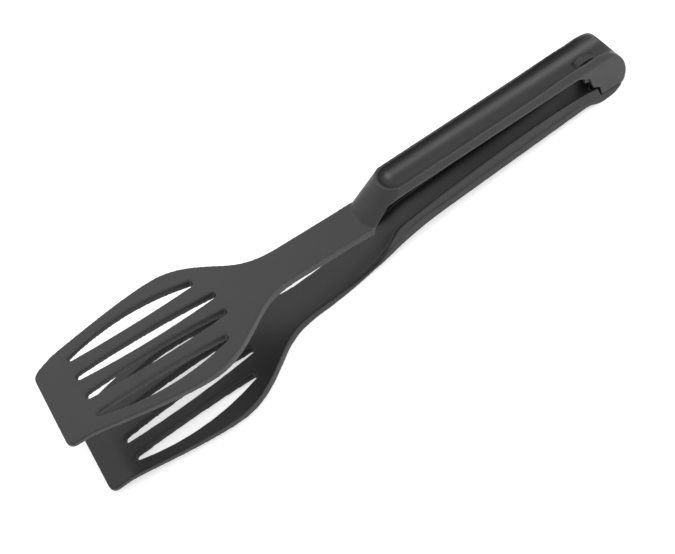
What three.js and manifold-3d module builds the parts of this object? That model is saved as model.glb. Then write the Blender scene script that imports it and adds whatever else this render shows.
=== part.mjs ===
// Spring loaded kitchen tongs: two slotted turner arms joined at the rear by a pin and a torsion spring.
// Millimetres, +Z up. The tips point along -X, the hinge is at the +X end, and the arms stand open.
// Each arm is drawn in its own frame, with the hinge axis along Y through the frame's origin.

import * as THREE from 'three';
import { mergeVertices } from 'three/addons/utils/BufferGeometryUtils.js';
import Module from 'manifold-3d';

const wasm = await Module();
wasm.setup();

// ---- Driving dimensions -------------------------------------------------------------------------

const DEGREE = Math.PI / 180;
const OPEN_ANGLE = 5.9 * DEGREE;     // between the two blades when the spring holds the tongs open
const GAP = 0.3;                     // play between pieces that touch
const CURVE_STEPS = 14;              // points on each curved stretch of an outline
const ROUND_STEPS = 40;              // sides of a full circle

// Blade and neck, the same in plan on both arms
const TIP_X = -276.5;
const TIP_HALF_WIDTH = 23.8;
const TIP_CORNER = 4.5;
const CREASE_X = -265;               // where the front lip bends down
const LIP_DROP = 3.2;
const BLADE_HALF_WIDTH = 34.2;
const BLADE_WIDEST_X = -211;
const NECK_HALF_WIDTH = 10.4;
const NECK_START_X = -157;
const NECK_END_X = -118;
const NECK_REST_X = -150;            // where the lower neck touches the table
const NECK_END_HALF_WIDTH = 10.6;
const SLOT_DRAFT = 1.2;              // how much narrower each side of a slot is below
const SLOT_DRAFT_DEPTH = 4;
const TAPER_END_X = -190;            // the plate thickens from the lip to here
const TIP_THICKNESS = 1.9;
const BLADE_THICKNESS = 2.3;
const NECK_THICKNESS = 3.5;

// Handles
const HANDLE_HALF_WIDTH = 10.4;
const RIM_HALF_WIDTH = 8.9;
const TROUGH_HALF_WIDTH = 8;
const TROUGH_DEPTH = 6.5;
const FLOOR_THICKNESS = 1.9;
const HANDLE_FRONT_X = -104;
const SCOOP_LENGTH = 6.5;
const NOSE_FOOT_X = -122;            // foot of the upper handle's nose on the neck
const NOSE_FOOT_LENGTH = 4.6;
const NOSE_BROW_X = -107.6;          // top of the nose, further back and rounder than its foot
const NOSE_BROW_LENGTH = 11;
const NOSE_BROW_Z = 6.4;

// Upper arm heights
const UPPER_PLATE_TOP = -4.5;
const UPPER_PITCH = 2.7 * DEGREE;    // slope of the handle against the blade
const UPPER_FLANGE_Z = 7.6;          // underside of the handle's side flange, carried back to the hinge
const UPPER_FLANGE_HEIGHT = 1;
const UPPER_RIM_HEIGHT = 3.9;        // rim above the flange's underside

// Lower arm heights
const LOWER_PLATE_TOP = -14.1;
const LOWER_BASE_Z = -9.3;           // underside of the handle
const LOWER_FLANGE_HEIGHT = 4.1;
const LOWER_RIM_Z = -0.8;            // highest point of the channel's rim
const LOWER_CHANNEL_HALF_WIDTH = 7.6;
const LOWER_FLOOR_THICKNESS = 3;

// Hinge
const KNUCKLE_RADIUS = 12.2;
const KNUCKLE_REACH = 14;          // from the hinge axis to the rear end
const CHEEK_THICKNESS = 2.4;
const LUG_RADIUS = 3.3;
const LUG_THICKNESS = 1.7;
const PIN_RADIUS = 1.5;
const PIN_LENGTH = 15;
const BARREL_RADIUS = 7.6;           // hump over the spring, between the cheeks
const BARREL_HALF_WIDTH = 2.4;
const STOP_Z = -8;                   // where the cheeks meet the lower arm
const LOWER_WALL_END = 1.5;          // how far before the axis the lower walls end

// Torsion spring
const WIRE_RADIUS = 0.55;
const COIL_RADIUS = 2.75;
const COIL_TURNS = 4;
const LEG_LENGTH = 6;
const UPPER_LEG_ANGLE = 10 * DEGREE;
const LOWER_LEG_ANGLE = 14 * DEGREE;

// ---- Materials ----------------------------------------------------------------------------------

const nylonUpper = new THREE.MeshStandardMaterial({ color: 0x47484a, roughness: 0.55, metalness: 0 });
const nylonLower = new THREE.MeshStandardMaterial({ color: 0x434446, roughness: 0.55, metalness: 0 });
const pinSteel = new THREE.MeshStandardMaterial({ color: 0xb9bbbd, roughness: 0.3, metalness: 1 });
const springSteel = new THREE.MeshStandardMaterial({ color: 0xa4a6a8, roughness: 0.35, metalness: 1 });

// ---- Solid helpers ------------------------------------------------------------------------------

/** A closed three.js geometry as a solid that can be joined and cut. */
function solidOf(geometry) {
  const bare = geometry.index ? geometry.toNonIndexed() : geometry.clone();
  bare.deleteAttribute('normal');
  bare.deleteAttribute('uv');
  const merged = mergeVertices(bare, 1e-4);
  const mesh = new wasm.Mesh({
    numProp: 3,
    vertProperties: new Float32Array(merged.attributes.position.array),
    triVerts: new Uint32Array(merged.index.array),
  });
  return new wasm.Manifold(mesh);
}

/** A solid back as a named mesh. */
function meshOf(name, solid, material) {
  const { vertProperties, triVerts } = solid.getMesh();
  const geometry = new THREE.BufferGeometry();
  geometry.setAttribute('position', new THREE.BufferAttribute(new Float32Array(vertProperties), 3));
  geometry.setIndex(new THREE.BufferAttribute(new Uint32Array(triVerts), 1));
  geometry.computeVertexNormals();
  const mesh = new THREE.Mesh(geometry, material);
  mesh.name = name;
  return mesh;
}

/** Joins any number of solids. */
function join(...solids) {
  return solids.reduce((sum, next) => sum.add(next));
}

/** A shape drawn in X and Y, standing between two heights. */
function standing(shape, lowZ, highZ) {
  const geometry = new THREE.ExtrudeGeometry(shape, {
    depth: highZ - lowZ, bevelEnabled: false, curveSegments: CURVE_STEPS,
  });
  geometry.translate(0, 0, lowZ);
  return solidOf(geometry);
}

/** A side view drawn in X and Z, running across from one Y to another. */
function across(shape, lowY, highY) {
  const geometry = new THREE.ExtrudeGeometry(shape, {
    depth: highY - lowY, bevelEnabled: false, curveSegments: CURVE_STEPS,
  });
  geometry.rotateX(Math.PI / 2);
  geometry.translate(0, highY, 0);
  return solidOf(geometry);
}

/** The same side view on both sides of the middle. */
function bothSides(shape, innerY, outerY) {
  return join(across(shape, innerY, outerY), across(shape, -outerY, -innerY));
}

/** A section drawn in Y and Z, running back from one X to another and pitched about the hinge. */
function lengthwise(shape, frontX, rearX, pitch) {
  const geometry = new THREE.ExtrudeGeometry(shape, {
    depth: rearX - frontX, bevelEnabled: false, curveSegments: CURVE_STEPS,
  });
  const axes = new THREE.Matrix4().makeBasis(
    new THREE.Vector3(0, 1, 0), new THREE.Vector3(0, 0, 1), new THREE.Vector3(1, 0, 0));
  geometry.applyMatrix4(axes);
  geometry.translate(frontX, 0, 0);
  geometry.rotateY(-pitch);
  return solidOf(geometry);
}

/** A closed outline through the given corners. */
function polygon(points) {
  return new THREE.Shape(points.map(([x, y]) => new THREE.Vector2(x, y)));
}

/** A round outline. */
function disc(centreX, centreY, radius) {
  const shape = new THREE.Shape();
  const points = [];
  for (let i = 0; i < ROUND_STEPS; i += 1) {
    const angle = (i / ROUND_STEPS) * 2 * Math.PI;
    points.push(new THREE.Vector2(centreX + radius * Math.cos(angle), centreY + radius * Math.sin(angle)));
  }
  return shape.setFromPoints(points);
}

/** A point of a side view, turned about the hinge so that the tips rise. */
function turned([x, z], angle) {
  return [x * Math.cos(angle) + z * Math.sin(angle), z * Math.cos(angle) - x * Math.sin(angle)];
}

// ---- Blade --------------------------------------------------------------------------------------

/** Plan outline of blade and neck: a straight front, a belly, and an S curve into the neck. */
function bladeOutline() {
  const side = [
    [[-250, 29], [-226, 34.6], [BLADE_WIDEST_X, BLADE_HALF_WIDTH]],
    [[-200, 33.9], [-191.5, 27], [-183, 20]],
    [[-175.5, 13.8], [-170, NECK_HALF_WIDTH], [NECK_START_X, NECK_HALF_WIDTH]],
  ];
  const cornerX = TIP_X + TIP_CORNER;
  const shape = new THREE.Shape();
  shape.moveTo(TIP_X, 0);
  shape.lineTo(TIP_X, -TIP_HALF_WIDTH + TIP_CORNER);
  shape.quadraticCurveTo(TIP_X, -TIP_HALF_WIDTH, cornerX, -TIP_HALF_WIDTH - 0.8);
  side.forEach(([a, b, end]) => shape.bezierCurveTo(a[0], -a[1], b[0], -b[1], end[0], -end[1]));
  shape.lineTo(NECK_END_X, -NECK_END_HALF_WIDTH);
  shape.lineTo(HANDLE_FRONT_X, -HANDLE_HALF_WIDTH);
  shape.lineTo(HANDLE_FRONT_X, HANDLE_HALF_WIDTH);
  shape.lineTo(NECK_END_X, NECK_END_HALF_WIDTH);
  shape.lineTo(NECK_START_X, NECK_HALF_WIDTH);
  const starts = [[cornerX, TIP_HALF_WIDTH + 0.8], side[0][2], side[1][2]];
  for (let i = side.length - 1; i >= 0; i -= 1) {
    const [a, b] = side[i];
    shape.bezierCurveTo(b[0], b[1], a[0], a[1], starts[i][0], starts[i][1]);
  }
  shape.quadraticCurveTo(TIP_X, TIP_HALF_WIDTH, TIP_X, TIP_HALF_WIDTH - TIP_CORNER);
  return shape;
}

/** One slot: pointed towards the tip, round at the rear, with a curve along each long edge. */
function slotOutline({ frontX, rearX, inner, outer, endRadius }) {
  const middleX = (frontX + rearX) / 2;
  const shape = new THREE.Shape();
  shape.moveTo(frontX, (inner.front + outer.front) / 2);
  shape.lineTo(frontX + 1, inner.front);
  const innerBow = 2 * inner.middle - (inner.front + inner.rear) / 2;
  const outerBow = 2 * outer.middle - (outer.front + outer.rear) / 2;
  shape.quadraticCurveTo(middleX, innerBow, rearX - endRadius, inner.rear);
  shape.quadraticCurveTo(rearX, inner.rear, rearX, (inner.rear + outer.rear) / 2);
  shape.quadraticCurveTo(rearX, outer.rear, rearX - endRadius, outer.rear);
  shape.quadraticCurveTo(middleX, outerBow, frontX + 1, outer.front);
  return shape;
}

const INNER_SLOT = {
  frontX: -260.5,
  rearX: -191,
  inner: { front: 4.2, middle: 2.4, rear: 4 },
  outer: { front: 8.4, middle: 9.7, rear: 8.2 },
  endRadius: 2.2,
};
const OUTER_SLOT = {
  frontX: -260,
  rearX: -196.5,
  inner: { front: 16.8, middle: 16.2, rear: 17.4 },
  outer: { front: 20.2, middle: 26, rear: 21.8 },
  endRadius: 2.2,
};

/** One slot as a cutter whose walls lean out from the plate's underside to its top face. */
function draftedSlot(slot, plateTop) {
  const geometry = new THREE.ExtrudeGeometry(slotOutline(slot), {
    depth: 4, bevelThickness: SLOT_DRAFT_DEPTH, bevelSize: SLOT_DRAFT, bevelOffset: -SLOT_DRAFT,
    bevelSegments: 1, curveSegments: CURVE_STEPS,
  });
  geometry.translate(0, 0, plateTop);
  return solidOf(geometry);
}

/** The four slots of a blade as one cutter. */
function slotCutter(plateTop) {
  const halves = [INNER_SLOT, OUTER_SLOT].map((slot) => draftedSlot(slot, plateTop));
  return join(...halves, ...halves.map((half) => half.mirror([0, 1, 0])));
}

/** Side view of blade and neck, with the lip bent down at the front. */
function plateProfile(plateTop, rearX) {
  const shape = new THREE.Shape();
  const bend = 4;
  shape.moveTo(TIP_X - 1, plateTop - LIP_DROP);
  shape.lineTo(CREASE_X - bend, plateTop - LIP_DROP * 0.3);
  shape.quadraticCurveTo(CREASE_X, plateTop, CREASE_X + bend, plateTop);
  shape.lineTo(rearX, plateTop);
  shape.lineTo(rearX, plateTop - NECK_THICKNESS);
  shape.lineTo(TAPER_END_X, plateTop - NECK_THICKNESS);
  shape.lineTo(CREASE_X + bend, plateTop - BLADE_THICKNESS);
  shape.quadraticCurveTo(CREASE_X, plateTop - BLADE_THICKNESS,
    CREASE_X - bend, plateTop - BLADE_THICKNESS - LIP_DROP * 0.3);
  shape.lineTo(TIP_X - 1, plateTop - LIP_DROP - TIP_THICKNESS);
  return shape;
}

/** Blade and neck of one arm, up to where its handle starts. */
function bladeAndNeck(plateTop, rearX) {
  const width = BLADE_HALF_WIDTH + 5;
  const plate = across(plateProfile(plateTop, rearX), -width, width);
  return plate
    .intersect(standing(bladeOutline(), plateTop - 20, plateTop + 20))
    .subtract(slotCutter(plateTop));
}

// ---- Handle -------------------------------------------------------------------------------------

/** Handle section: flange, walls that lean in to a narrow rim, and a rounded belly if there is room. */
function handleSection(baseZ, flangeHeight, rimHeight, bellyDepth) {
  const shape = new THREE.Shape();
  const bellyHalfWidth = TROUGH_HALF_WIDTH + 1;
  shape.moveTo(-HANDLE_HALF_WIDTH, baseZ);
  if (bellyDepth > 0) {
    shape.lineTo(-bellyHalfWidth, baseZ);
    shape.bezierCurveTo(-bellyHalfWidth, baseZ - bellyDepth * 1.33,
      bellyHalfWidth, baseZ - bellyDepth * 1.33, bellyHalfWidth, baseZ);
  }
  shape.lineTo(HANDLE_HALF_WIDTH, baseZ);
  shape.lineTo(HANDLE_HALF_WIDTH, baseZ + flangeHeight);
  shape.lineTo(RIM_HALF_WIDTH, baseZ + rimHeight);
  shape.lineTo(-RIM_HALF_WIDTH, baseZ + rimHeight);
  shape.lineTo(-HANDLE_HALF_WIDTH, baseZ + flangeHeight);
  return shape;
}

/** The trough: a round gutter along the handle, with a bowl-shaped front end. */
function troughCutter(rimZ, pitch, rearX) {
  const section = new THREE.Shape();
  section.moveTo(-TROUGH_HALF_WIDTH, rimZ + 20);
  section.lineTo(-TROUGH_HALF_WIDTH, rimZ);
  section.bezierCurveTo(-TROUGH_HALF_WIDTH, rimZ - TROUGH_DEPTH * 1.33,
    TROUGH_HALF_WIDTH, rimZ - TROUGH_DEPTH * 1.33, TROUGH_HALF_WIDTH, rimZ);
  section.lineTo(TROUGH_HALF_WIDTH, rimZ + 20);
  const gutter = lengthwise(section, HANDLE_FRONT_X + 4, rearX, pitch);
  const bowl = new THREE.SphereGeometry(1, 28, 20);
  bowl.scale(SCOOP_LENGTH, TROUGH_HALF_WIDTH, TROUGH_DEPTH);
  bowl.translate(HANDLE_FRONT_X + 4.5, 0, rimZ);
  bowl.rotateY(-pitch);
  return gutter.add(solidOf(bowl));
}

// ---- Hinge --------------------------------------------------------------------------------------

/** Side view of all that lies above or below the stop, where the cheeks rest on the lower arm. */
function besideStop(side, angle) {
  const level = STOP_Z + side * GAP / 2;
  const corners = [[-60, level], [40, level], [40, side * 60], [-60, side * 60]];
  return polygon(corners.map((corner) => turned(corner, angle)));
}

/** A ring-shaped lug about the hinge axis with a web that ties it to its arm. */
function lugPair(innerY, web) {
  const outerY = innerY + LUG_THICKNESS;
  return join(bothSides(disc(0, 0, LUG_RADIUS), innerY, outerY), bothSides(polygon(web), innerY, outerY));
}

const CHEEK_INNER_Y = HANDLE_HALF_WIDTH - CHEEK_THICKNESS;
const UPPER_LUG_Y = CHEEK_INNER_Y - GAP - LUG_THICKNESS;
const LOWER_LUG_Y = UPPER_LUG_Y - GAP - LUG_THICKNESS;
const PIN_BORE = across(disc(0, 0, PIN_RADIUS + GAP), -HANDLE_HALF_WIDTH + CHEEK_THICKNESS,
  HANDLE_HALF_WIDTH - CHEEK_THICKNESS);

// ---- Upper arm ----------------------------------------------------------------------------------

/** The S-shaped step from the neck up to the handle, seen from the side; open above. */
function upperStepProfile() {
  const shape = new THREE.Shape();
  const flangeZ = (x) => UPPER_FLANGE_Z + x * Math.tan(UPPER_PITCH);
  shape.moveTo(-130, 20);
  shape.lineTo(-130, UPPER_PLATE_TOP - NECK_THICKNESS);
  shape.lineTo(-121.5, UPPER_PLATE_TOP - NECK_THICKNESS);
  shape.quadraticCurveTo(-119, UPPER_PLATE_TOP - NECK_THICKNESS, -117, -4.4);
  shape.lineTo(-109.5, 1.2);
  shape.quadraticCurveTo(-106, flangeZ(-106), -98, flangeZ(-98));
  shape.lineTo(-92, flangeZ(-92));
  shape.lineTo(-92, 20);
  return shape;
}

/** Plan of a handle's rounded bow and of all that lies behind it. */
function nosePlan(frontX, length) {
  const shape = new THREE.Shape();
  const half = HANDLE_HALF_WIDTH;
  shape.moveTo(30, -half);
  shape.lineTo(30, half);
  shape.lineTo(frontX + length, half);
  shape.bezierCurveTo(frontX + length * 0.4, half, frontX, half - 4, frontX, 0);
  shape.bezierCurveTo(frontX, -half + 4, frontX + length * 0.4, -half, frontX + length, -half);
  return shape;
}

/** The room the upper handle may fill: its bow leans back and gets rounder from the neck to the rim. */
function leaningNose() {
  const foot = standing(nosePlan(NOSE_FOOT_X, NOSE_FOOT_LENGTH), UPPER_PLATE_TOP - 12, UPPER_PLATE_TOP);
  const browPlan = nosePlan(NOSE_BROW_X, NOSE_BROW_LENGTH);
  const brow = standing(browPlan, NOSE_BROW_Z, NOSE_BROW_Z + 0.1);
  return wasm.Manifold.hull([foot, brow]).add(standing(browPlan, NOSE_BROW_Z, 40));
}

/** Section of all that the upper handle may fill: upright sides that lean in to the rim. */
function upperEnvelope(rimZ) {
  const shoulderZ = UPPER_FLANGE_Z + UPPER_FLANGE_HEIGHT;
  const side = [
    [HANDLE_HALF_WIDTH, -30], [HANDLE_HALF_WIDTH, shoulderZ],
    [RIM_HALF_WIDTH, rimZ], [RIM_HALF_WIDTH - 0.9, rimZ + 2],
  ];
  return polygon([...side, ...side.map(([y, z]) => [-y, z]).reverse()]);
}

/** Side view of the upper cheek: rim, round rear end, stop face and the chamfered end of the opening. */
function upperCheekProfile() {
  const shape = new THREE.Shape();
  const rimZ = (x) => UPPER_FLANGE_Z + UPPER_RIM_HEIGHT + x * Math.tan(UPPER_PITCH);
  shape.moveTo(-34, rimZ(-34));
  shape.lineTo(-34, rimZ(-34) - UPPER_RIM_HEIGHT);
  shape.lineTo(-9.5, UPPER_FLANGE_Z - 0.5);
  shape.lineTo(-4.4, 4.2);
  shape.lineTo(-3.6, -1.6);
  shape.lineTo(-GAP, -3.4);
  shape.lineTo(-GAP, -KNUCKLE_RADIUS);
  shape.lineTo(0, -KNUCKLE_RADIUS);
  const rearShift = KNUCKLE_REACH - KNUCKLE_RADIUS;
  shape.absarc(rearShift, 0, KNUCKLE_RADIUS, -Math.PI / 2, Math.PI / 2, false);
  shape.lineTo(-4, KNUCKLE_RADIUS - 0.5);
  shape.bezierCurveTo(-12, 12, -22, rimZ(-22) + 0.2, -34, rimZ(-34));
  return shape;
}

/** The upper arm: blade, neck, ramp, open handle, cheeks and inner lugs in one moulding. */
function upperArm() {
  const rimZ = UPPER_FLANGE_Z + UPPER_RIM_HEIGHT;
  const bellyDepth = TROUGH_DEPTH + FLOOR_THICKNESS - UPPER_RIM_HEIGHT;
  const section = handleSection(UPPER_FLANGE_Z, UPPER_FLANGE_HEIGHT, UPPER_RIM_HEIGHT, bellyDepth);
  const bellyFront = polygon([[-111, 30], [-111, 0.4], [-104, -3], [30, -3], [30, 30]]);
  const handle = lengthwise(section, -112, -3, UPPER_PITCH)
    .intersect(across(bellyFront, -20, 20))
    .intersect(leaningNose());
  const underRim = polygon([[-12, -30], [12, -30], [12, rimZ], [-12, rimZ]]);
  const step = across(upperStepProfile(), -HANDLE_HALF_WIDTH, HANDLE_HALF_WIDTH)
    .intersect(leaningNose())
    .intersect(lengthwise(underRim, -140, -60, UPPER_PITCH))
    .intersect(lengthwise(upperEnvelope(rimZ), -140, -60, UPPER_PITCH));
  const knuckle = across(upperCheekProfile(), -HANDLE_HALF_WIDTH, HANDLE_HALF_WIDTH)
    .intersect(across(besideStop(1, 0), -20, 20))
    .intersect(lengthwise(upperEnvelope(rimZ), -60, 30, UPPER_PITCH));
  const floorZ = rimZ - TROUGH_DEPTH;
  const cavity = polygon([
    [-16, -20], [-16, floorZ - FLOOR_THICKNESS - 0.9], [0, floorZ - 1.3], [6, floorZ - 1.5],
    [KNUCKLE_REACH - 2.6, 1], [KNUCKLE_REACH - 2.6, -20],
  ]);
  const web = [[-LUG_RADIUS, 0], [LUG_RADIUS, 0], [LUG_RADIUS, floorZ - 0.6], [-LUG_RADIUS, floorZ - 0.6]];
  const shoulder = [[-6, 1], [6, 1], [6, floorZ - 0.6], [-6, floorZ - 0.6]];
  const barrel = across(disc(0, 0, BARREL_RADIUS), -BARREL_HALF_WIDTH, BARREL_HALF_WIDTH)
    .intersect(across(polygon([[-12, floorZ - 1], [12, floorZ - 1], [12, 20], [-12, 20]]), -20, 20));
  return join(bladeAndNeck(UPPER_PLATE_TOP, -118.8), step, handle, knuckle)
    .subtract(troughCutter(rimZ, UPPER_PITCH, KNUCKLE_RADIUS + 6))
    .subtract(across(cavity, -CHEEK_INNER_Y, CHEEK_INNER_Y))
    .add(lugPair(UPPER_LUG_Y, web))
    .add(bothSides(polygon(shoulder), UPPER_LUG_Y, CHEEK_INNER_Y + 0.4))
    .add(barrel)
    .subtract(PIN_BORE);
}

// ---- Lower arm ----------------------------------------------------------------------------------

/** Side view of the lower arm's solid band, which rises gently from the neck to the handle. */
function lowerBandProfile() {
  const shape = new THREE.Shape();
  const bottom = LOWER_PLATE_TOP - NECK_THICKNESS;
  const flangeZ = LOWER_BASE_Z + LOWER_FLANGE_HEIGHT;
  shape.moveTo(-158, LOWER_PLATE_TOP - 0.005);
  shape.lineTo(-158, bottom + 0.02);
  shape.bezierCurveTo(-130, bottom, -115, LOWER_BASE_Z - 0.3, -88, LOWER_BASE_Z);
  shape.lineTo(-10, LOWER_BASE_Z);
  shape.lineTo(-5, LOWER_BASE_Z - 0.8);
  shape.lineTo(-LOWER_WALL_END, LOWER_BASE_Z - 1.6);
  shape.lineTo(-LOWER_WALL_END, STOP_Z);
  shape.lineTo(-14, flangeZ - 0.6);
  shape.lineTo(-98, flangeZ);
  shape.bezierCurveTo(-112, flangeZ - 0.4, -120, LOWER_PLATE_TOP + 0.4, -139, LOWER_PLATE_TOP);
  return shape;
}

/** Side view of the lower channel's walls, from inside the band up to the rim. */
function lowerWallProfile() {
  const shape = new THREE.Shape();
  const foot = LOWER_BASE_Z + 0.5;
  shape.moveTo(-124, LOWER_PLATE_TOP);
  shape.lineTo(-122, -10.5);
  shape.bezierCurveTo(-115.5, -8.8, -114, -3.8, -107, LOWER_RIM_Z - 1.9);
  shape.bezierCurveTo(-95, LOWER_RIM_Z - 1, -75, LOWER_RIM_Z, -50, LOWER_RIM_Z);
  shape.bezierCurveTo(-30, LOWER_RIM_Z, -14, LOWER_RIM_Z - 1, -LOWER_WALL_END, LOWER_RIM_Z - 3.2);
  shape.lineTo(-LOWER_WALL_END, foot);
  shape.lineTo(-98, foot);
  return shape;
}

/** Side view of the space between the lower channel's walls, down to its floor. */
function lowerChannelProfile() {
  const shape = new THREE.Shape();
  const floorZ = LOWER_BASE_Z + LOWER_FLOOR_THICKNESS;
  shape.moveTo(-160, LOWER_PLATE_TOP + 0.02);
  shape.lineTo(-139, LOWER_PLATE_TOP + 0.02);
  shape.bezierCurveTo(-122, LOWER_PLATE_TOP, -112, floorZ, -98, floorZ);
  shape.lineTo(8.6, floorZ);
  shape.lineTo(8.6, 20);
  shape.lineTo(-160, 20);
  return shape;
}

/** Plan of the lower neck's end, narrowing to the handle. */
function lowerPlan() {
  return polygon([
    [-158, -NECK_HALF_WIDTH], [NECK_END_X, -NECK_END_HALF_WIDTH], [HANDLE_FRONT_X, -HANDLE_HALF_WIDTH],
    [20, -HANDLE_HALF_WIDTH], [20, HANDLE_HALF_WIDTH],
    [HANDLE_FRONT_X, HANDLE_HALF_WIDTH], [NECK_END_X, NECK_END_HALF_WIDTH], [-158, NECK_HALF_WIDTH],
  ]);
}

/** Section of the lower channel's outer walls, which lean in towards the rim. */
function lowerWallSection() {
  const flangeZ = LOWER_BASE_Z + LOWER_FLANGE_HEIGHT;
  const side = [[HANDLE_HALF_WIDTH - 0.3, -20], [HANDLE_HALF_WIDTH - 0.3, flangeZ - 0.6],
    [RIM_HALF_WIDTH + 0.7, flangeZ + 1.6], [RIM_HALF_WIDTH + 0.3, 4]];
  return polygon([...side, ...side.map(([y, z]) => [-y, z]).reverse()]);
}

/** The lower arm: blade, neck, open channel that faces the upper arm, hinge block and lugs. */
function lowerArm() {
  const width = NECK_END_HALF_WIDTH;
  const band = across(lowerBandProfile(), -width, width).intersect(standing(lowerPlan(), -40, 40));
  const walls = across(lowerWallProfile(), -width, width)
    .intersect(lengthwise(lowerWallSection(), -130, 0, 0));
  const floorZ = LOWER_BASE_Z + LOWER_FLOOR_THICKNESS;
  const rearDisc = disc(KNUCKLE_REACH - KNUCKLE_RADIUS, 0, KNUCKLE_RADIUS);
  const knuckle = join(across(disc(0, 0, KNUCKLE_RADIUS), -HANDLE_HALF_WIDTH, HANDLE_HALF_WIDTH),
    across(rearDisc, -HANDLE_HALF_WIDTH, HANDLE_HALF_WIDTH))
    .intersect(across(besideStop(-1, OPEN_ANGLE), -20, 20));
  const innerY = CHEEK_INNER_Y - GAP;
  const floorProfile = polygon([[-14, LOWER_BASE_Z], [-2, -10.6], [7.6, -8.6], [7.6, floorZ], [-14, floorZ]]);
  const floor = across(floorProfile, -innerY, innerY);
  const web = [[-LUG_RADIUS, 0], [-LUG_RADIUS, floorZ - 0.6], [LUG_RADIUS, floorZ - 0.6], [LUG_RADIUS, 0]];
  return join(band, walls, knuckle)
    .subtract(across(lowerChannelProfile(), -LOWER_CHANNEL_HALF_WIDTH, LOWER_CHANNEL_HALF_WIDTH))
    .add(floor)
    .add(bladeAndNeck(LOWER_PLATE_TOP, -157))
    .add(lugPair(LOWER_LUG_Y, web))
    .subtract(PIN_BORE);
}

// ---- Pin and spring -----------------------------------------------------------------------------

/** The steel hinge pin, along Y. */
function hingePin() {
  return across(disc(0, 0, PIN_RADIUS), -PIN_LENGTH / 2, PIN_LENGTH / 2);
}

/** Wire path of the torsion spring: a leg under each handle and the coil between them. */
class SpringPath extends THREE.Curve {
  constructor() {
    super();
    this.sweep = COIL_TURNS * 2 * Math.PI + Math.PI + UPPER_LEG_ANGLE - LOWER_LEG_ANGLE;
    this.coilLength = this.sweep * COIL_RADIUS;
    this.total = this.coilLength + 2 * LEG_LENGTH;
    this.coilWidth = (COIL_TURNS + 0.5) * (2 * WIRE_RADIUS + 0.12);
  }

  getPoint(t, target = new THREE.Vector3()) {
    const along = t * this.total;
    const first = Math.PI / 2 + UPPER_LEG_ANGLE;
    const turn = THREE.MathUtils.clamp((along - LEG_LENGTH) / this.coilLength, 0, 1);
    const angle = first - turn * this.sweep;
    const y = (turn - 0.5) * this.coilWidth;
    const x = COIL_RADIUS * Math.cos(angle);
    const z = COIL_RADIUS * Math.sin(angle);
    let before = 0;
    if (along < LEG_LENGTH) before = along - LEG_LENGTH;
    if (along > LEG_LENGTH + this.coilLength) before = along - LEG_LENGTH - this.coilLength;
    return target.set(x + before * Math.sin(angle), y, z - before * Math.cos(angle));
  }
}

/** The torsion spring as one wire. */
function torsionSpring() {
  const wire = disc(0, 0, WIRE_RADIUS);
  const section = new THREE.Shape(wire.getPoints().filter((_, i) => i % 5 === 0));
  const geometry = new THREE.ExtrudeGeometry(section, {
    steps: 110, bevelEnabled: false, extrudePath: new SpringPath(),
  });
  return solidOf(geometry);
}

// ---- Assembly -----------------------------------------------------------------------------------

/** Angle at which the lower arm lies on the rear of its neck and on its knuckle. */
function restAngle() {
  const depth = NECK_THICKNESS - LOWER_PLATE_TOP;
  const reach = Math.hypot(NECK_REST_X, depth);
  return Math.atan2(depth, -NECK_REST_X) - Math.asin(KNUCKLE_RADIUS / reach);
}

const lowerGroup = new THREE.Group();
lowerGroup.add(
  meshOf('lower_arm', lowerArm(), nylonLower),
  meshOf('hinge_pin', hingePin(), pinSteel),
);
lowerGroup.rotation.y = restAngle();

const springGroup = new THREE.Group();
springGroup.add(meshOf('torsion_spring', torsionSpring(), springSteel));
springGroup.rotation.y = restAngle() + OPEN_ANGLE / 2;

const upperGroup = new THREE.Group();
upperGroup.add(meshOf('upper_arm', upperArm(), nylonUpper));
upperGroup.rotation.y = restAngle() + OPEN_ANGLE;

const tongs = new THREE.Group();
tongs.add(lowerGroup, springGroup, upperGroup);
tongs.updateMatrixWorld(true);
const box = new THREE.Box3().setFromObject(tongs, true);
tongs.position.set(-(box.min.x + box.max.x) / 2, 0, -box.min.z);

export default tongs;
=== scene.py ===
"""Spring loaded kitchen tongs: two moulded nylon turner arms, a steel pin and a torsion spring.

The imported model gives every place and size. Each arm's surface is rebuilt as one fine moulding with
rounded edges and the pin is turned anew. The spring keeps its solid. All get procedural finishes.
"""

import logging
import math
from dataclasses import dataclass
from enum import Enum

import bmesh
import bpy
from mathutils import Matrix, Quaternion, Vector


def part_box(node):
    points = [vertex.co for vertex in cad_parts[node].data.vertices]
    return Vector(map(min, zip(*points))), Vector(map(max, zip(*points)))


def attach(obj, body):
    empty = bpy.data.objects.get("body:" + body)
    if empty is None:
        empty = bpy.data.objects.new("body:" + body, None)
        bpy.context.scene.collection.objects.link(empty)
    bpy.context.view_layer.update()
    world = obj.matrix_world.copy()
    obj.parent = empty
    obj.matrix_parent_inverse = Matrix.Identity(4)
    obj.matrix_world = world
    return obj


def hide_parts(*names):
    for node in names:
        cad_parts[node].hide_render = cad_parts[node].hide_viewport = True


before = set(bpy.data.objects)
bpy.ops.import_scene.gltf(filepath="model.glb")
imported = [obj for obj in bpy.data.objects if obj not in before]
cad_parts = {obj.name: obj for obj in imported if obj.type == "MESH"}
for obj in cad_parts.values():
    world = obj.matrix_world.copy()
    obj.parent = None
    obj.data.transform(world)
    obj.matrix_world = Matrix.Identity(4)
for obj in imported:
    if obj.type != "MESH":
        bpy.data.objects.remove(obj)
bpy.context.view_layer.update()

LOG = logging.getLogger("tongs")
MM = 0.001
ALIGNED = 1e-6  # coordinates closer than this, in metres, count as equal

Color = tuple[float, float, float]
Point = tuple[float, float, float]


class Slot(Enum):
    """Material slot names that the arms carry; no finish is taken from them."""

    NYLON_LOWER = "nylon_lower"
    NYLON_UPPER = "nylon_upper"
    PIN_STEEL = "pin_steel"


class Body(Enum):
    """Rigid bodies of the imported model."""

    LOWER = "lower"
    UPPER = "upper"


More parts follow.
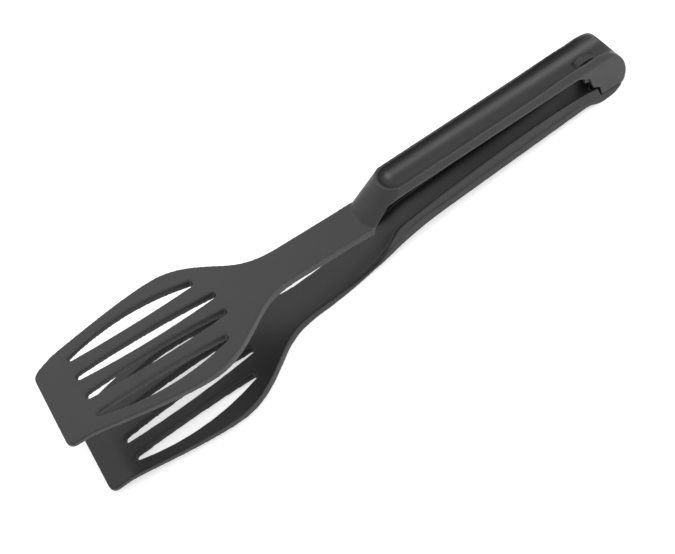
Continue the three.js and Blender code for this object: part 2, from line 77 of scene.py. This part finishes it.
# ---- Shader groups ------------------------------------------------------------------------------

GRAIN_SCALE = 2600.0  # texture cells per metre
FLOW_SCALE = 38.0
FLECK_SCALE = 900.0
HANDLING_SCALE = 22.0
STREAK_SCALE = 140.0
FLOW_SHARE = 0.35  # of the flow marks in the grain's height
MIDDLE_NOISE = (0.3, 0.7)  # where nearly all of a noise texture's values lie


def add_group(
    name: str, inputs: dict[str, float], outputs: tuple[str, ...]
) -> bpy.types.NodeTree:
    """Makes an empty shader group with its sockets.

    Args:
        name: name of the group.
        inputs: number inputs and their default values, after the Vector input.
        outputs: number outputs.

    Returns:
        The new node tree, with a Group Input and a Group Output in it.
    """
    tree = bpy.data.node_groups.new(name, "ShaderNodeTree")
    tree.interface.new_socket(name="Vector", in_out="INPUT", socket_type="NodeSocketVector")
    number = "NodeSocketFloat"
    for label, value in inputs.items():
        socket = tree.interface.new_socket(name=label, in_out="INPUT", socket_type=number)
        socket.default_value = value
    for label in outputs:
        tree.interface.new_socket(name=label, in_out="OUTPUT", socket_type=number)
    tree.nodes.new("NodeGroupInput").name = "in"
    tree.nodes.new("NodeGroupOutput").name = "out"
    return tree


def add_noise(
    tree: bpy.types.NodeTree, scale: float, detail: float, roughness: float
) -> bpy.types.Node:
    """Adds a noise texture to a tree.

    Args:
        tree: tree the node goes in.
        scale: how fine the noise is.
        detail: octaves of finer noise on top.
        roughness: how strong each finer octave is.

    Returns:
        The noise texture node.
    """
    noise = tree.nodes.new("ShaderNodeTexNoise")
    noise.inputs["Scale"].default_value = scale
    noise.inputs["Detail"].default_value = detail
    noise.inputs["Roughness"].default_value = roughness
    return noise


def add_math(
    tree: bpy.types.NodeTree, operation: str, *values: float | bpy.types.NodeSocket
) -> bpy.types.NodeSocket:
    """Adds a maths node fed by numbers or sockets.

    Args:
        tree: tree the node goes in.
        operation: the node's operation.
        values: what each input gets, in order.

    Returns:
        The result's socket.
    """
    node = tree.nodes.new("ShaderNodeMath")
    node.operation = operation
    for socket, value in zip(node.inputs, values):
        if isinstance(value, bpy.types.NodeSocket):
            tree.links.new(value, socket)
        else:
            socket.default_value = value
    return node.outputs[0]


def add_range(
    tree: bpy.types.NodeTree,
    value: bpy.types.NodeSocket,
    source: tuple[float, float],
    target: tuple[float, float],
) -> bpy.types.NodeSocket:
    """Maps a value from one range to another, clamped.

    Args:
        tree: tree the node goes in.
        value: socket that carries the value.
        source: lowest and highest value that counts.
        target: what those two become.

    Returns:
        The mapped value's socket.
    """
    node = tree.nodes.new("ShaderNodeMapRange")
    tree.links.new(value, node.inputs["Value"])
    labels = ("From Min", "From Max", "To Min", "To Max")
    for label, number in zip(labels, (*source, *target)):
        node.inputs[label].default_value = number
    return node.outputs["Result"]


def moulded_grain_group() -> bpy.types.NodeTree:
    """Builds the fine spark-eroded grain of a moulding, with sparse glass-fibre flecks.

    Returns:
        A group with a height, a tone (about 1) and a fleck mask.
    """
    scales = {"Grain Scale": GRAIN_SCALE, "Flow Scale": FLOW_SCALE}
    tree = add_group("moulded_grain", scales, ("Height", "Tone", "Fleck"))
    source, target = tree.nodes["in"], tree.nodes["out"]
    grain = add_noise(tree, GRAIN_SCALE, 2.0, 0.6)
    flow = add_noise(tree, FLOW_SCALE, 3.0, 0.55)
    fleck = tree.nodes.new("ShaderNodeTexVoronoi")
    fleck.inputs["Scale"].default_value = FLECK_SCALE
    for node in (grain, flow, fleck):
        tree.links.new(source.outputs["Vector"], node.inputs["Vector"])
    tree.links.new(source.outputs["Grain Scale"], grain.inputs["Scale"])
    tree.links.new(source.outputs["Flow Scale"], flow.inputs["Scale"])
    soft = add_math(tree, "MULTIPLY", flow.outputs["Fac"], FLOW_SHARE)
    tree.links.new(add_math(tree, "ADD", grain.outputs["Fac"], soft), target.inputs["Height"])
    fine = add_range(tree, grain.outputs["Fac"], MIDDLE_NOISE, (0.93, 1.07))
    broad = add_range(tree, flow.outputs["Fac"], MIDDLE_NOISE, (0.95, 1.05))
    tree.links.new(add_math(tree, "MULTIPLY", fine, broad), target.inputs["Tone"])
    near_fleck = add_range(tree, fleck.outputs["Distance"], (0.03, 0.16), (1.0, 0.0))
    tree.links.new(near_fleck, target.inputs["Fleck"])
    return tree


def handling_group() -> bpy.types.NodeTree:
    """Builds the uneven sheen that washing and handling leave.

    Returns:
        A group with a roughness change (about 0) and a mask of faint rub marks.
    """
    tree = add_group("handling", {"Patch Scale": HANDLING_SCALE}, ("Sheen", "Rub"))
    source, target = tree.nodes["in"], tree.nodes["out"]
    patch = add_noise(tree, HANDLING_SCALE, 4.0, 0.6)
    streak = add_noise(tree, STREAK_SCALE, 5.0, 0.7)
    stretch = tree.nodes.new("ShaderNodeMapping")
    stretch.inputs["Scale"].default_value = (0.12, 1.0, 1.0)
    tree.links.new(source.outputs["Vector"], patch.inputs["Vector"])
    tree.links.new(source.outputs["Patch Scale"], patch.inputs["Scale"])
    tree.links.new(source.outputs["Vector"], stretch.inputs["Vector"])
    tree.links.new(stretch.outputs["Vector"], streak.inputs["Vector"])
    sheen = add_range(tree, patch.outputs["Fac"], MIDDLE_NOISE, (-0.05, 0.05))
    tree.links.new(sheen, target.inputs["Sheen"])
    rub = add_range(tree, streak.outputs["Fac"], (0.6, 0.78), (0.0, 1.0))
    tree.links.new(rub, target.inputs["Rub"])
    return tree


@dataclass(frozen=True)
class Effects:
    """The shader groups that the finishes share."""

    grain: bpy.types.NodeTree
    handling: bpy.types.NodeTree

    @classmethod
    def build(cls) -> "Effects":
        """Builds each group once."""
        return cls(moulded_grain_group(), handling_group())


# ---- Finishes -----------------------------------------------------------------------------------


def new_material(name: str) -> tuple[bpy.types.Material, bpy.types.Node]:
    """Makes a node material.

    Args:
        name: the material's name.

    Returns:
        The material and its Principled BSDF.
    """
    material = bpy.data.materials.new(name)
    material.use_nodes = True
    return material, material.node_tree.nodes["Principled BSDF"]


def place_group(
    tree: bpy.types.NodeTree,
    group: bpy.types.NodeTree,
    place: bpy.types.NodeSocket,
    **values: float,
) -> bpy.types.Node:
    """Places a shader group in a material and sets its number inputs.

    Args:
        tree: the material's tree.
        group: the group to place.
        place: socket with the Object coordinates.
        values: the group's inputs by name, with _ for a space.

    Returns:
        The group node.
    """
    node = tree.nodes.new("ShaderNodeGroup")
    node.node_tree = group
    tree.links.new(place, node.inputs["Vector"])
    for label, value in values.items():
        node.inputs[label.replace("_", " ")].default_value = value
    return node


def add_relief(
    tree: bpy.types.NodeTree,
    shader: bpy.types.Node,
    height: bpy.types.NodeSocket,
    strength: float,
    depth: float,
) -> None:
    """Gives a shader a bump.

    Args:
        tree: the material's tree.
        shader: the Principled BSDF.
        height: socket with the height.
        strength: share of the bump that shows.
        depth: height of the bump in metres.
    """
    bump = tree.nodes.new("ShaderNodeBump")
    bump.inputs["Strength"].default_value = strength
    bump.inputs["Distance"].default_value = depth
    tree.links.new(height, bump.inputs["Height"])
    tree.links.new(bump.outputs["Normal"], shader.inputs["Normal"])


@dataclass(frozen=True)
class NylonFinish:
    """Matte glass-filled nylon, dark anthracite."""

    name: str
    color: Color
    fleck_color: Color = (0.11, 0.11, 0.112)
    fleck_share: float = 0.3
    rub_color: Color = (0.075, 0.075, 0.077)
    rub_share: float = 0.25
    roughness: float = 0.4
    grain_strength: float = 0.35
    grain_depth: float = 0.00003
    refraction: float = 1.53

    def build(self, effects: Effects) -> bpy.types.Material:
        """Builds the material.

        Args:
            effects: the shared shader groups.

        Returns:
            The nylon material.
        """
        material, shader = new_material(self.name)
        tree = material.node_tree
        place = tree.nodes.new("ShaderNodeTexCoord").outputs["Object"]
        grain = place_group(
            tree, effects.grain, place, Grain_Scale=GRAIN_SCALE, Flow_Scale=FLOW_SCALE
        )
        handling = place_group(tree, effects.handling, place, Patch_Scale=HANDLING_SCALE)
        tone = tree.nodes.new("ShaderNodeCombineColor")
        for channel, level in zip(("Red", "Green", "Blue"), self.color):
            toned = add_math(tree, "MULTIPLY", grain.outputs["Tone"], level)
            tree.links.new(toned, tone.inputs[channel])
        flecked = self.mixed(
            tree, tone.outputs["Color"], self.fleck_color, grain.outputs["Fleck"], self.fleck_share
        )
        rubbed = self.mixed(
            tree, flecked, self.rub_color, handling.outputs["Rub"], self.rub_share
        )
        tree.links.new(rubbed, shader.inputs["Base Color"])
        rough = add_math(tree, "ADD", handling.outputs["Sheen"], self.roughness)
        tree.links.new(rough, shader.inputs["Roughness"])
        height = grain.outputs["Height"]
        add_relief(tree, shader, height, self.grain_strength, self.grain_depth)
        shader.inputs["Specular IOR Level"].default_value = 0.5
        shader.inputs["IOR"].default_value = self.refraction
        return material

    @staticmethod
    def mixed(
        tree: bpy.types.NodeTree,
        under: bpy.types.NodeSocket,
        color: Color,
        mask: bpy.types.NodeSocket,
        share: float,
    ) -> bpy.types.NodeSocket:
        """Mixes a colour over another where a mask is high.

        Args:
            tree: the material's tree.
            under: socket with the colour below.
            color: the colour on top.
            mask: socket with the mask.
            share: how much of the top colour shows at the mask's full value.

        Returns:
            The mixed colour's socket.
        """
        mix = tree.nodes.new("ShaderNodeMix")
        mix.data_type = "RGBA"
        tree.links.new(add_math(tree, "MULTIPLY", mask, share), mix.inputs["Factor"])
        tree.links.new(under, mix.inputs[6])
        mix.inputs[7].default_value = (*color, 1.0)
        return mix.outputs[2]


@dataclass(frozen=True)
class SteelFinish:
    """Drawn or ground stainless steel."""

    name: str
    color: Color
    roughness: float
    patch_scale: float = 160.0
    draw_scale: float = 1800.0
    draw_stretch: tuple[float, float, float] = (1.0, 0.06, 1.0)
    draw_strength: float = 0.2
    draw_depth: float = 0.00001

    def build(self, effects: Effects) -> bpy.types.Material:
        """Builds the material.

        Args:
            effects: the shared shader groups.

        Returns:
            The steel material.
        """
        material, shader = new_material(self.name)
        tree = material.node_tree
        place = tree.nodes.new("ShaderNodeTexCoord").outputs["Object"]
        handling = place_group(tree, effects.handling, place, Patch_Scale=self.patch_scale)
        rough = add_math(tree, "ADD", handling.outputs["Sheen"], self.roughness)
        tree.links.new(rough, shader.inputs["Roughness"])
        draw_marks = add_noise(tree, self.draw_scale, 2.0, 0.5)
        stretch = tree.nodes.new("ShaderNodeMapping")
        stretch.inputs["Scale"].default_value = self.draw_stretch
        tree.links.new(place, stretch.inputs["Vector"])
        tree.links.new(stretch.outputs["Vector"], draw_marks.inputs["Vector"])
        height = draw_marks.outputs["Fac"]
        add_relief(tree, shader, height, self.draw_strength, self.draw_depth)
        shader.inputs["Base Color"].default_value = (*self.color, 1.0)
        shader.inputs["Metallic"].default_value = 1.0
        return material


# ---- Mesh helpers -------------------------------------------------------------------------------


def object_from(bm: bmesh.types.BMesh, name: str) -> bpy.types.Object:
    """Turns a bmesh into a smooth-shaded object in the scene.

    Args:
        bm: the finished bmesh, which is freed.
        name: name of the object and its mesh.

    Returns:
        The new object, at the origin.
    """
    mesh = bpy.data.meshes.new(name)
    bm.to_mesh(mesh)
    bm.free()
    mesh.shade_smooth()
    piece = bpy.data.objects.new(name, mesh)
    bpy.context.scene.collection.objects.link(piece)
    return piece


def bake_modifiers(piece: bpy.types.Object) -> None:
    """Applies an object's modifiers to its mesh and takes them off.

    Args:
        piece: the object to bake.
    """
    graph = bpy.context.evaluated_depsgraph_get()
    graph.update()
    mesh = bpy.data.meshes.new_from_object(piece.evaluated_get(graph))
    piece.modifiers.clear()
    old = piece.data
    piece.data = mesh
    bpy.data.meshes.remove(old)
    mesh.name = piece.name
    mesh.shade_smooth()


# ---- Pieces -------------------------------------------------------------------------------------


@dataclass
class MouldedArm:
    """One arm of the tongs, as a single moulding with rounded edges."""

    node: str
    body: Body
    slot: Slot
    finish: NylonFinish
    merge_distance: float = 0.002 * MM
    cell: float = 0.33 * MM
    rounding_passes: int = 5
    rounding_factor: float = 0.5
    face_share: float = 0.37

    def merged_copy(self) -> bpy.types.Object:
        """Copies the arm's solid with its loose triangles joined.

        Returns:
            The copy, still with plain edges.
        """
        bm = bmesh.new()
        bm.from_mesh(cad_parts[self.node].data)
        bmesh.ops.remove_doubles(bm, verts=bm.verts, dist=self.merge_distance)
        bmesh.ops.dissolve_degenerate(bm, edges=bm.edges, dist=self.merge_distance)
        return object_from(bm, f"{self.node}_moulding")

    def round_edges(self, piece: bpy.types.Object) -> None:
        """Remeshes the solid into even cells and rounds its edges as a mould does.

        Args:
            piece: the merged copy of the arm.
        """
        cells = piece.modifiers.new("even_cells", "REMESH")
        cells.mode = "VOXEL"
        cells.voxel_size = self.cell
        cells.adaptivity = 0.0
        cells.use_smooth_shade = True
        bake_modifiers(piece)
        bm = bmesh.new()
        bm.from_mesh(piece.data)
        for _ in range(self.rounding_passes):
            bmesh.ops.smooth_vert(
                bm,
                verts=bm.verts,
                factor=self.rounding_factor,
                use_axis_x=True,
                use_axis_y=True,
                use_axis_z=True,
            )
        bm.to_mesh(piece.data)
        bm.free()
        thinning = piece.modifiers.new("thinning", "DECIMATE")
        thinning.ratio = self.face_share
        bake_modifiers(piece)

    def build(self, effects: Effects) -> bpy.types.Object:
        """Builds, dresses and hangs the arm on its body.

        Args:
            effects: the shared shader groups.

        Returns:
            The finished arm.
        """
        piece = self.merged_copy()
        self.round_edges(piece)
        piece.data.materials.clear()
        piece.data.materials.append(self.finish.build(effects))
        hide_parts(self.node)
        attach(piece, self.body.value)
        return piece


@dataclass
class HingePin:
    """The ground steel pin through the lugs, along Y."""

    node: str = "hinge_pin"
    sides: int = 48
    chamfer: float = 0.25 * MM
    finish: SteelFinish = SteelFinish("ground_pin_steel", (0.62, 0.62, 0.63), 0.22)

    def build(self, effects: Effects) -> bpy.types.Object:
        """Turns the pin, bevels its ends and hangs it on the lower arm's body.

        Args:
            effects: the shared shader groups.

        Returns:
            The finished pin.
        """
        low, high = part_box(self.node)
        centre = (low + high) / 2
        radius = (high.x - low.x) / 2
        bm = bmesh.new()
        bmesh.ops.create_cone(
            bm,
            cap_ends=True,
            cap_tris=False,
            segments=self.sides,
            radius1=radius,
            radius2=radius,
            depth=high.y - low.y,
            matrix=Matrix.Translation(centre) @ Matrix.Rotation(math.pi / 2, 4, "X"),
        )
        rims = [
            edge for edge in bm.edges if abs(edge.verts[0].co.y - edge.verts[1].co.y) < ALIGNED
        ]
        bmesh.ops.bevel(
            bm,
            geom=rims,
            offset=self.chamfer,
            offset_type="OFFSET",
            segments=2,
            profile=0.5,
            affect="EDGES",
            material=-1,
        )
        piece = object_from(bm, "ground_pin")
        piece.data.materials.append(self.finish.build(effects))
        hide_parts(self.node)
        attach(piece, Body.LOWER.value)
        return piece


@dataclass
class SpringFinishing:
    """The torsion spring, which keeps its solid and gets a drawn wire finish whose dark colour is
    partly painted shade.
    """

    node: str = "torsion_spring"
    # The wire's colour, 0.30, is steel darkened with painted shade, standing in for the shade inside
    # the hinge.
    finish: SteelFinish = SteelFinish("spring_wire_steel_painted_shade", (0.30, 0.30, 0.31), 0.34)

    def build(self, effects: Effects) -> bpy.types.Object:
        """Dresses the spring's own solid.

        Args:
            effects: the shared shader groups.

        Returns:
            The spring's object.
        """
        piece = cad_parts[self.node]
        piece.data.materials.clear()
        piece.data.materials.append(self.finish.build(effects))
        return piece


# ---- Studio -------------------------------------------------------------------------------------


@dataclass(frozen=True)
class Softbox:
    """One large square studio light that faces the tongs."""

    name: str
    place: Point
    size: float
    power: float

    def build(self) -> None:
        """Hangs the softbox and aims it at the middle of the table."""
        data = bpy.data.lights.new(self.name, "AREA")
        data.shape = "SQUARE"
        data.size = self.size
        data.energy = self.power
        lamp = bpy.data.objects.new(self.name, data)
        lamp.location = self.place
        lamp.rotation_euler = Vector(self.place).to_track_quat("Z", "Y").to_euler()
        bpy.context.scene.collection.objects.link(lamp)


@dataclass(frozen=True)
class Studio:
    """A pale table, soft lights and the camera."""

    table_size: float = 12.0
    table_color: Color = (0.86, 0.86, 0.86)
    world_strength: float = 0.62
    table_glow: float = 0.55
    camera_place: Point = (-0.02701, -0.45601, 0.49199)
    camera_target: Point = (-0.01194, -0.01648, 0.02000)
    camera_roll: float = math.radians(-35.62)
    lens: float = 80.24
    sensor_width: float = 36.0
    softboxes: tuple[Softbox, ...] = (
        Softbox("key_softbox", (0.95, -0.95, 1.3), 1.3, 15.0),
        Softbox("rear_softbox", (-0.2, 1.6, 1.5), 2.0, 6.0),
    )

    def build_table(self) -> None:
        """Lays the plain pale table under the tongs."""
        bm = bmesh.new()
        bmesh.ops.create_grid(bm, x_segments=1, y_segments=1, size=self.table_size / 2)
        table = object_from(bm, "studio_table")
        material, shader = new_material("table_paper")
        shader.inputs["Base Color"].default_value = (*self.table_color, 1.0)
        shader.inputs["Roughness"].default_value = 0.9
        shader.inputs["Specular IOR Level"].default_value = 0.2
        shader.inputs["Emission Color"].default_value = (1.0, 1.0, 1.0, 1.0)
        shader.inputs["Emission Strength"].default_value = self.table_glow
        table.data.materials.append(material)

    def build_world(self) -> None:
        """Fills the room with even pale light."""
        world = bpy.data.worlds.new("studio_world")
        world.use_nodes = True
        background = world.node_tree.nodes["Background"]
        background.inputs["Color"].default_value = (1.0, 1.0, 1.0, 1.0)
        background.inputs["Strength"].default_value = self.world_strength
        bpy.context.scene.world = world

    def build_camera(self) -> None:
        """Sets up the camera from its place, its target and its roll."""
        data = bpy.data.cameras.new("studio_camera")
        data.sensor_width = self.sensor_width
        data.lens = self.lens
        data.clip_start = 0.01
        camera = bpy.data.objects.new("studio_camera", data)
        away = Vector(self.camera_place) - Vector(self.camera_target)
        level = away.to_track_quat("Z", "Y")
        camera.rotation_mode = "QUATERNION"
        camera.rotation_quaternion = level @ Quaternion((0.0, 0.0, 1.0), self.camera_roll)
        camera.location = self.camera_place
        bpy.context.scene.collection.objects.link(camera)
        bpy.context.scene.camera = camera

    def build(self) -> None:
        """Builds the whole studio."""
        self.build_table()
        self.build_world()
        for softbox in self.softboxes:
            softbox.build()
        self.build_camera()
        bpy.context.scene.view_settings.view_transform = "Standard"


# ---- Assembly -----------------------------------------------------------------------------------


def main() -> None:
    """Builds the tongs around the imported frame, and the studio."""
    logging.basicConfig(level=logging.INFO, format="%(name)s: %(message)s")
    effects = Effects.build()
    # Both arms are the same nylon. The lower arm's colour is about half as bright as painted shade,
    # standing in for the upper arm's shadow on it.
    shaded_lower_nylon = NylonFinish("nylon_lower_arm_painted_shade", (0.014, 0.0141, 0.0145))
    upper_nylon = NylonFinish("nylon_upper_arm", (0.027, 0.0272, 0.0278))
    makers = (
        MouldedArm("lower_arm", Body.LOWER, Slot.NYLON_LOWER, shaded_lower_nylon),
        MouldedArm("upper_arm", Body.UPPER, Slot.NYLON_UPPER, upper_nylon),
        HingePin(),
        SpringFinishing(),
    )
    for maker in makers:
        piece = maker.build(effects)
        LOG.info("%s: %d faces", piece.name, len(piece.data.polygons))
    Studio().build()


if __name__ == "__main__":
    main()
